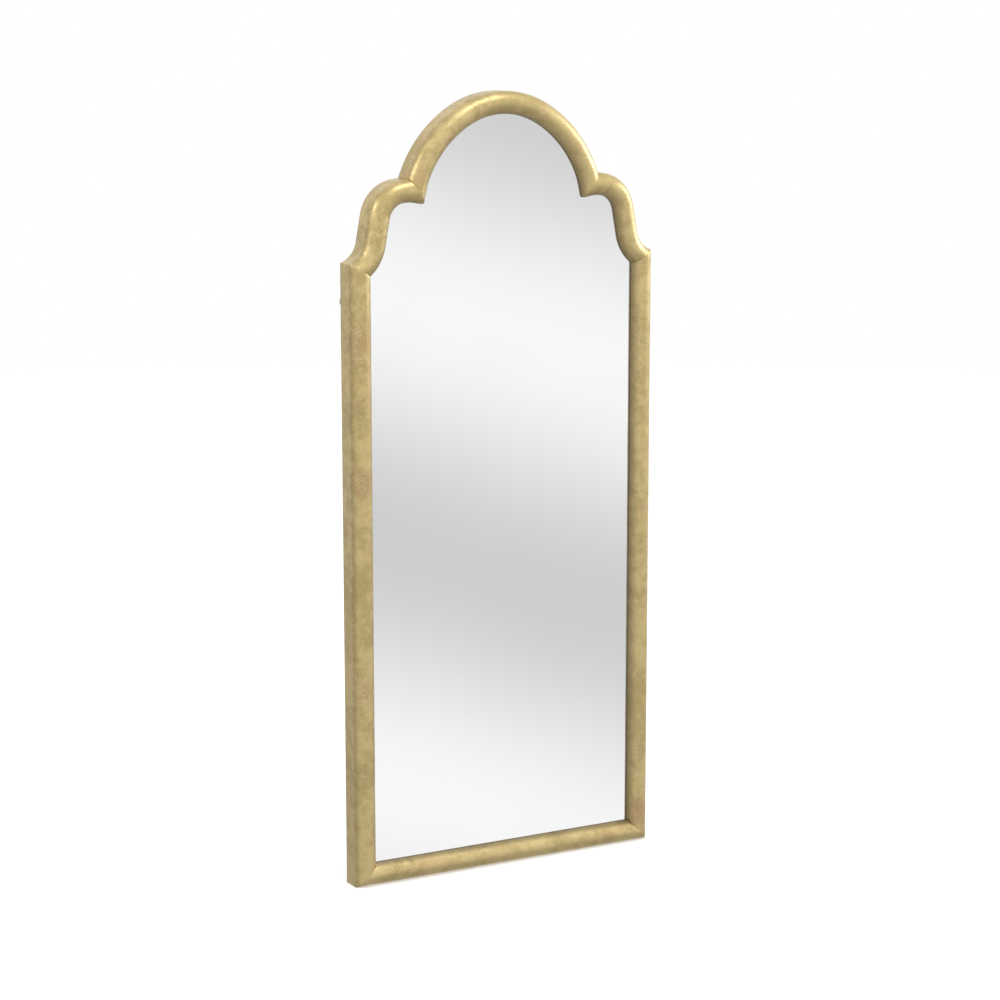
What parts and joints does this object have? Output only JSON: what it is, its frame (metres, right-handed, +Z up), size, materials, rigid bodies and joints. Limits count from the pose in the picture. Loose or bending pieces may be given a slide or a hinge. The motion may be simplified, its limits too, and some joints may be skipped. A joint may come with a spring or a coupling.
{
  "type": "wall mirror",
  "caption": "Tall arched wall mirror with stepped curved shoulders in a gold half-round wooden frame, with swinging D-ring hangers on the back.",
  "frame": {"origin": "middle of the flat back, halfway across the width and halfway up the height, on the back panel's rear face", "axes": "+X to the right seen from the front, +Y from the glass into the wall, +Z up"},
  "size_m": [0.61, 0.0593, 1.407],
  "materials": {
    "gilt_wood": "antique gold leaf over a dark ground, mottled, satin",
    "silvered_glass": "clear silvered float glass, polished",
    "foam": "thin closed-cell foam sheet",
    "hardboard": "brown hardboard, smooth face",
    "panel_board": "raw fibreboard, fine fleck",
    "pine": "planed softwood",
    "plywood": "thin birch plywood",
    "black_rubber": "matte black rubber",
    "zinc_steel": "bright zinc plate",
    "ring_steel": "nickel plated wire",
    "screw_steel": "yellow zinc plate"
  },
  "bodies": {
    "frame": {"top_arch": "gilt_wood", "bottom_rail": "gilt_wood", "right_shoulder": "gilt_wood", "left_shoulder": "gilt_wood", "right_stile": "gilt_wood", "left_stile": "gilt_wood", "mitre_tongues": "plywood", "mirror_glass": "silvered_glass", "foam_sheet": "foam", "backing_board": "hardboard", "back_panel": "panel_board", "right_batten": "pine", "left_batten": "pine", "bottom_batten": "pine", "arch_blocks": "pine", "shoulder_blocks": "pine", "setting_blocks": "black_rubber", "edge_spacers": "black_rubber", "right_wall_bumper": "black_rubber", "left_wall_bumper": "black_rubber", "corner_braces": "zinc_steel", "right_hanger_strap": "zinc_steel", "left_hanger_strap": "zinc_steel", "panel_screws": "screw_steel", "brace_screws": "screw_steel", "hanger_screws": "screw_steel"},
    "right_ring": {"right_hanger_ring": "ring_steel"},
    "left_ring": {"left_hanger_ring": "ring_steel"}
  },
  "joints": [
    {"name": "right_ring_swing", "type": "hinge", "parent": "frame", "child": "right_ring", "pos_m": [0.294, 0.003, 0.351], "axis": [1, 0, 0], "range_deg": [0, 180]},
    {"name": "left_ring_swing", "type": "hinge", "parent": "frame", "child": "left_ring", "pos_m": [-0.294, 0.003, 0.351], "axis": [1, 0, 0], "range_deg": [0, 180]}
  ]
}
